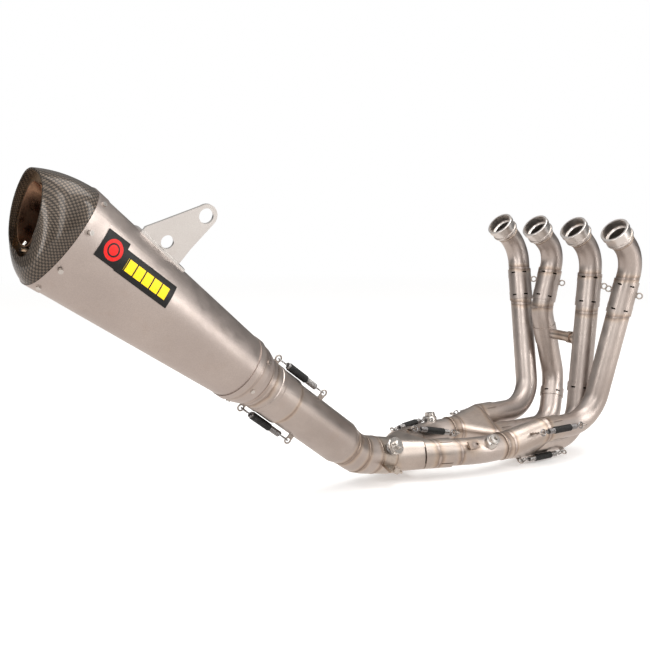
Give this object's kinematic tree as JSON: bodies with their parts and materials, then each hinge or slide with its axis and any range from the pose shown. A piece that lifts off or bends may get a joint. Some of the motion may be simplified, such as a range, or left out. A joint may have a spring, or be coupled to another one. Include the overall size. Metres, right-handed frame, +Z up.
{
  "type": "racing exhaust system",
  "caption": "Four-into-two-into-one motorcycle race exhaust: slip-fit headers, balance tube, collectors, exhaust valve, link pipe and conical silencer with a carbon end cap.",
  "frame": {"origin": "centre of the mouth of head socket 1, the left-hand port", "axes": "+X to the front of the motorcycle, +Y to its left, +Z up; the ports stand in a row along -Y and the silencer rises towards -X"},
  "size_m": [1.0188, 0.309, 0.4704],
  "materials": {
    "socket_turned": "bright turned rings",
    "header_titanium": "fine brushed, warm grey with straw heat tint at the welds",
    "collector_titanium": "fine brushed with straw and brown heat tint",
    "hook_steel": "drawn wire with tinted weld",
    "spring_steel": "drawn wire",
    "spring_rubber": "matt black",
    "boss_steel": "machined",
    "valve_cast": "machined, light heat tint",
    "valve_machined": "machined",
    "link_titanium": "fine brushed, warm grey",
    "silencer_titanium": "fine blasted satin, warm grey",
    "core_steel": "heat-tinted copper brown",
    "packing_wool": "coarse mineral wool",
    "carbon_cap": "clear-coated carbon weave",
    "badge_black": null
  },
  "bodies": {
    "manifold": {"collector_left": "collector_titanium", "collector_right": "collector_titanium", "secondary_left": "header_titanium", "secondary_right": "header_titanium", "lambda_bosses": "boss_steel", "lambda_plugs": "boss_steel", "secondary_tab": "header_titanium", "spring_hooks": "hook_steel", "spring_sleeves": "spring_rubber", "header_spring_outer_left": "spring_steel", "header_springs_inner": "spring_steel", "header_spring_outer_right": "spring_steel", "link_springs": "spring_steel", "link_collector": "collector_titanium", "valve_housing": "valve_cast", "valve_bracket": "valve_cast", "valve_return_spring": "spring_steel", "link_pipe": "link_titanium", "silencer_springs": "spring_steel", "silencer_spring_sleeves": "spring_rubber"},
    "header_outer_left": {"head_socket_1": "socket_turned", "header_tube_1": "header_titanium", "header_coupling_1": "header_titanium", "header_hooks_outer_left": "hook_steel"},
    "headers_inner": {"head_socket_2": "socket_turned", "head_socket_3": "socket_turned", "header_tube_2": "header_titanium", "header_tube_3": "header_titanium", "header_couplings_inner": "header_titanium", "header_hooks_inner": "hook_steel", "balance_tube": "header_titanium", "balance_sleeve": "header_titanium", "balance_saddles": "header_titanium"},
    "header_outer_right": {"head_socket_4": "socket_turned", "header_tube_4": "header_titanium", "header_coupling_4": "header_titanium", "header_hooks_outer_right": "hook_steel"},
    "valve": {"valve_shaft": "valve_machined", "valve_flap": "valve_machined", "valve_screws": "boss_steel", "valve_pulley": "valve_machined"},
    "silencer": {"silencer_slip_sleeve": "link_titanium", "silencer_inlet_cone": "silencer_titanium", "silencer_sleeve": "silencer_titanium", "silencer_core": "core_steel", "silencer_packing": "packing_wool", "silencer_outlet_tube": "core_steel", "silencer_end_cap": "carbon_cap", "silencer_outlet_plate": "core_steel", "silencer_outlet_band": "silencer_titanium", "silencer_inlet_band": "silencer_titanium", "silencer_rivets": "boss_steel", "silencer_badge": "badge_black", "silencer_hanger": "silencer_titanium", "silencer_cap_screws": "boss_steel", "silencer_hooks": "hook_steel"}
  },
  "joints": [
    {"name": "header_slip_outer_left", "type": "slide", "parent": "manifold", "child": "header_outer_left", "axis": [1, 0, 0], "range_m": [0, 0.006], "deforming": ["header_spring_outer_left"]},
    {"name": "header_slip_inner", "type": "slide", "parent": "manifold", "child": "headers_inner", "axis": [1, 0, 0], "range_m": [0, 0.006], "deforming": ["header_springs_inner"]},
    {"name": "header_slip_outer_right", "type": "slide", "parent": "manifold", "child": "header_outer_right", "axis": [1, 0, 0], "range_m": [0, 0.006], "deforming": ["header_spring_outer_right"]},
    {"name": "valve_turn", "type": "hinge", "parent": "manifold", "child": "valve", "pos_m": [-0.38799, -0.15197, -0.33596], "axis": [0.2163, -0.8278, 0.5176], "range_deg": [0, 80], "deforming": ["valve_return_spring"]},
    {"name": "silencer_turn", "type": "hinge", "parent": "manifold", "child": "silencer", "pos_m": [-0.433, -0.1575, -0.326], "axis": [-0.7984, -0.0839, 0.5962], "range_deg": [-6, 6], "deforming": ["silencer_springs", "silencer_spring_sleeves"]}
  ]
}
